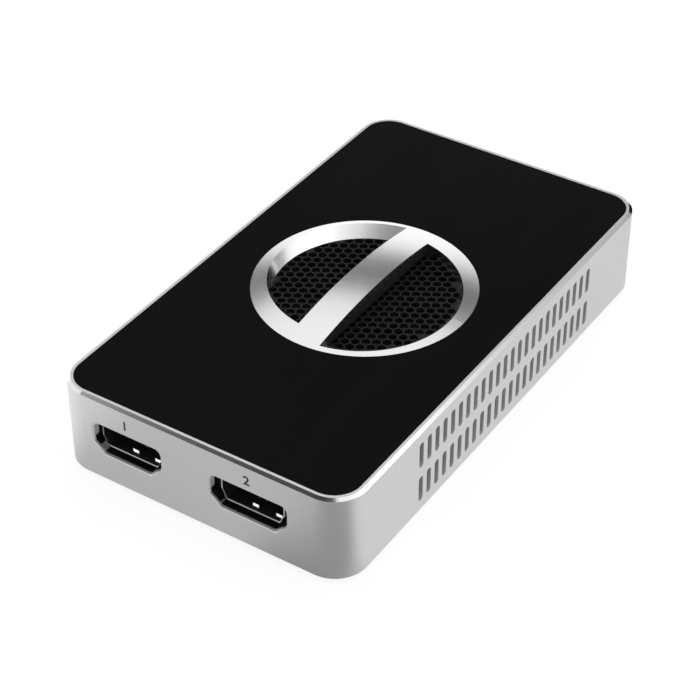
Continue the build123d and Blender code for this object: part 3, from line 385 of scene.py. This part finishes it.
def rubber_finish():
    """Matt rubber with a fine moulded grain and a little dust."""
    grain_depth = 0.02 * millimetre
    finish = Finish("rubber", specular_ior_level=0.3)
    grain = finish.noise(size=0.3, detail=3.0)
    dust = finish.noise(size=2.5, detail=4.0).ramp(0.5, 0.75)
    finish.wear(base_color=finish.mix(0.35 * dust + 0.2 * grain, grey(0.014), grey(0.055)),
                roughness=0.78 + grain.swing(0.12))
    finish.relief(grain, grain_depth)


def foam_finish():
    """Closed-cell black foam."""
    bubble_depth = 0.05 * millimetre
    finish = Finish("foam", specular_ior_level=0.05)
    bubbles = finish.cells(size=0.25)
    finish.wear(base_color=finish.mix(bubbles, grey(0.002), grey(0.006)),
                roughness=0.85 + bubbles.swing(0.1))
    finish.relief(bubbles, bubble_depth)


def lamp_finish():
    """The status light's milky cap, in soft patches."""
    finish = Finish("lamp", specular_ior_level=0.5)
    haze = finish.noise(size=0.3)
    finish.wear(base_color=finish.mix(haze, colour(0.62, 0.66, 0.5), colour(0.8, 0.82, 0.7)),
                roughness=0.35 + haze.swing(0.1))


def light_pipe_finish():
    """Frosted clear plastic."""
    frost_depth = 0.01 * millimetre
    finish = Finish("light_pipe", transmission_weight=0.6, ior=1.49)
    frost = finish.noise(size=0.15)
    finish.wear(base_color=finish.mix(frost, grey(0.72), grey(0.86)),
                roughness=0.34 + frost.swing(0.15))
    finish.relief(frost, frost_depth)


housing_finish()
guard_finish()
panel_finish()
board_finish()
connector_finish()
winding_finish()
laminated_finish()
rubber_finish()
foam_finish()
lamp_finish()
light_pipe_finish()
metal("steel_screw", (0.55, 0.55, 0.56), rough=0.3, grain=0.15, depth=0.003)
metal("gilt", (0.83, 0.60, 0.22), rough=0.25, grain=0.1, depth=0.002, cloud=2.0)
metal("magnet", (0.05, 0.05, 0.052), rough=0.55, grain=0.25, depth=0.01)
metal("bronze", (0.46, 0.28, 0.13), rough=0.45, grain=0.12, depth=0.008)
metal("polished_steel", (0.62, 0.62, 0.63), rough=0.14, grain=0.1, depth=0.001)
metal("sink_aluminium", (0.60, 0.61, 0.62), rough=0.42, grain=0.25, depth=0.006)
metal("can", (0.66, 0.66, 0.67), rough=0.26, grain=0.15, depth=0.003)
plastic("adhesive", (0.55, 0.53, 0.48), rough=0.6, grain=0.4, depth=0.01)
plastic("black_mesh", (0.0065, 0.0065, 0.0068), rough=0.6, grain=0.2, depth=0.003, cloud=5.0,
        specular_ior_level=0.22)
plastic("black_plastic", (0.013, 0.013, 0.014), rough=0.48, specular_ior_level=0.4)
plastic("base_paint", (0.042, 0.042, 0.045), rough=0.52, grain=0.35, depth=0.02, cloud=20.0, contrast=0.25)
plastic("black_screw", (0.028, 0.028, 0.03), rough=0.36, grain=0.2, metallic=0.8)
plastic("connector_black", (0.010, 0.010, 0.010), rough=0.42, grain=0.2, specular_ior_level=0.4)
plastic("connector_blue", (0.010, 0.060, 0.33), rough=0.4, grain=0.2)
plastic("heat_pad", (0.30, 0.34, 0.42), rough=0.7, grain=0.3, depth=0.02)
plastic("chip", (0.018, 0.018, 0.019), rough=0.5, grain=0.15, depth=0.008)
plastic("ferrite", (0.045, 0.045, 0.048), rough=0.6, grain=0.2, depth=0.02)
plastic("wire", (0.015, 0.015, 0.016), rough=0.4, grain=0.4, depth=0.004)
plastic("white_plastic", (0.72, 0.71, 0.67), rough=0.42, grain=0.3, depth=0.004, contrast=0.06)
plastic("port_ink", (0.022, 0.022, 0.024), rough=0.5, grain=0.12, depth=0.004)

for part in frame["record"]["subparts"]:
    nodes[part["node"]].material_slots[0].material = finishes[part["material_slot"]].material


# Port numerals, printed on the front wall

numeral_height = 2.2 * millimetre
numeral_rise = 15.5 * millimetre
numeral_bold = 0.08 * millimetre
ink_thickness = 0.01 * millimetre
figure_height_share = 0.73


def port_numeral(name, figure, port_low, port_high):
    """A printed figure on the front wall, over the middle of a port."""
    place = ((port_low.x + port_high.x) / 2, front_y, edge_z + numeral_rise)
    bpy.ops.object.select_all(action="DESELECT")
    bpy.ops.object.text_add(location=place, rotation=(pi / 2, 0, 0))
    sign = bpy.context.active_object
    sign.name = name
    sign.data.body = figure
    sign.data.align_x = "CENTER"
    sign.data.size = numeral_height / figure_height_share
    sign.data.offset = numeral_bold
    sign.data.extrude = ink_thickness
    bpy.ops.object.convert(target="MESH")
    bpy.ops.object.transform_apply(location=True, rotation=True, scale=True)
    sign.data.materials.clear()
    sign.data.materials.append(finishes["port_ink"].material)
    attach(sign, "case")


port_numeral("in_port_numeral", "1", in_low, in_high)
port_numeral("out_port_numeral", "2", out_low, out_high)


# Studio: what the metal mirrors is set by direction, on the sky and on the floor

scene = bpy.context.scene
scene.view_settings.view_transform = "Standard"


def studio_sky():
    """White to the camera, an even fill for matt surfaces, and light and dark areas for glossy ones."""
    fill = 0.62
    vault_level, crown_level, vault_edge = 1.25, 0.07, (0.55, 0.63)
    vault_rise, left_lean, left_from, front_lean = 0.073, 0.18, -0.2, 0.32
    right_side, right_top = (0.1, 0.3), (0.75, 0.9)
    right_level, right_rear_level, right_rear = 1.15, 0.40, (0.60, 0.78)
    front_edge, front_shade = (0.2, 0.4), 0.06
    left_level, left_edge, left_near, left_shift = 0.85, (0.475, 0.58), (-0.3, -0.1), 0.05
    gap_rear, gap_side = (0.85, 0.92), (-0.25, -0.1)

    world = bpy.data.worlds.new("studio")
    scene.world = world
    world.use_nodes = True
    sky = Tree(world.node_tree)
    camera_ray, glossy_ray, clear_ray = sky.rays()
    east, north, height = sky.axes(sky.step("ShaderNodeTexCoord", output="Generated"))

    # A light vault, lower to the left and in front, below a dark crown
    lift = height - left_lean * east.least(left_from) + vault_rise + front_lean * north.least(0)
    front = (-1 * north).ramp(*front_edge)
    vault = lift.ramp(*vault_edge, vault_level, crown_level) - front_shade * front
    # A light area on the right, dimmer to the rear
    right = east.ramp(*right_side) * height.ramp(*right_top, 1.0, 0.0)
    right_light = north.ramp(*right_rear, right_level, right_rear_level)
    # A dark gap in the rear, and a light area on the left
    gap = north.ramp(*gap_rear) * east.ramp(*gap_side)
    left = (-1 * east - left_shift * front).ramp(*left_edge) * (-1 * north).ramp(*left_near)
    mirrored = (vault * (1 - right) + right_light * right) * (1 - gap) + left_level * left

    seen = camera_ray.most(clear_ray)
    level = seen + (1 - seen) * (glossy_ray * mirrored + (1 - glossy_ray) * fill)
    background = sky.step("ShaderNodeBackground", inputs={"Color": grey(1.0), "Strength": level})
    sky.step("ShaderNodeOutputWorld", inputs={"Surface": background})


def studio_floor():
    """A pale paper floor; in what metal mirrors it carries a painted shadow in front of the box and a
    painted pool of light on its left.
    """
    floor_size = 6.0
    paper_dark, paper_light = 0.80, 0.84
    seen_level, mirrored_level, glow_share = 1.08, 0.81, 0.8
    front_way, front_edge, front_painted_shadow = (0.1, -0.995), (0.5, 0.9), 0.28
    corner_way, corner_edge, corner_painted_shadow = (0.5, -0.866), (0.92, 1.0), 0.29
    ahead_edge = (50 * millimetre, 62 * millimetre)
    left_edge, left_painted_light = (30 * millimetre, 46 * millimetre), 0.34

    bpy.ops.object.select_all(action="DESELECT")
    bpy.ops.mesh.primitive_plane_add(size=floor_size, location=(0, 0, 0))
    floor = bpy.context.active_object
    floor.name = "floor"
    floor_paint = bpy.data.materials.new("floor_paint")
    floor_paint.use_nodes = True
    paper = Tree(floor_paint.node_tree)
    camera_ray, glossy_ray, clear_ray = paper.rays()
    pulp = paper.mix(paper.noise(size=3), grey(paper_dark), grey(paper_light))
    matt = paper.step("ShaderNodeBsdfDiffuse", inputs={"Color": pulp})

    east, north, _ = paper.axes(paper.place())
    away = (east * east + north * north) ** 0.5
    front = ((front_way[0] * east + front_way[1] * north) / away).ramp(*front_edge)
    corner = ((corner_way[0] * east + corner_way[1] * north) / away).ramp(*corner_edge)
    ahead = (-1 * north).ramp(*ahead_edge)
    left = (-1 * east).ramp(*left_edge)
    # Painted shadow ahead of the box and at its front-right corner, and a painted pool of light on its
    # left, seen only by glossy rays
    mirrored = mirrored_level - (front_painted_shadow * front + corner_painted_shadow * corner) * ahead + left_painted_light * left
    level = seen_level * (1 - glossy_ray) + mirrored * glossy_ray
    glow = paper.step("ShaderNodeEmission", inputs={"Color": grey(1.0), "Strength": level})
    share = glow_share * camera_ray.most(clear_ray).most(glossy_ray)
    surface = paper.step("ShaderNodeMixShader", inputs={0: share, 1: matt, 2: glow})
    paper.step("ShaderNodeOutputMaterial", inputs={"Surface": surface})
    floor.data.materials.append(floor_paint)


def overhead_softbox():
    """A wide soft light that faces down."""
    place = (0.01, 0.337, 1.0)
    width, length = 1.98, 1.15
    radiance = 0.96
    lamp = bpy.data.lights.new("overhead", "AREA")
    lamp.shape = "RECTANGLE"
    lamp.size = width
    lamp.size_y = length
    lamp.energy = radiance * pi * width * length
    holder = bpy.data.objects.new("overhead", lamp)
    scene.collection.objects.link(holder)
    holder.location = place


def photo_camera():
    """The photograph's camera, fitted to the box's edges with the box's width as 100 units."""
    unit = (housing_high.x - housing_low.x) / 100
    yaw, pitch, roll = 0.580705907, 0.665167012, -0.0022057888
    shift_right, shift_up = -4.48372683, 3.30063953
    distance = 626.997848
    lens, sensor_width = 104.025, 36.0
    nearest = 10 * millimetre

    back = Vector((sin(yaw) * cos(pitch), -cos(yaw) * cos(pitch), sin(pitch)))
    level_right = Vector((cos(yaw), sin(yaw), 0))
    level_up = back.cross(level_right)
    right = level_right * cos(roll) + level_up * sin(roll)
    up = level_up * cos(roll) - level_right * sin(roll)
    data = bpy.data.cameras.new("camera")
    data.sensor_width = sensor_width
    data.lens = lens
    data.clip_start = nearest
    camera = bpy.data.objects.new("camera", data)
    scene.collection.objects.link(camera)
    camera.matrix_world = Matrix((right, up, back)).transposed().to_4x4()
    place = (shift_right * right + shift_up * up + distance * back) * unit
    camera.location = place + Vector((0, 0, edge_z))
    scene.camera = camera


studio_sky()
studio_floor()
overhead_softbox()
photo_camera()
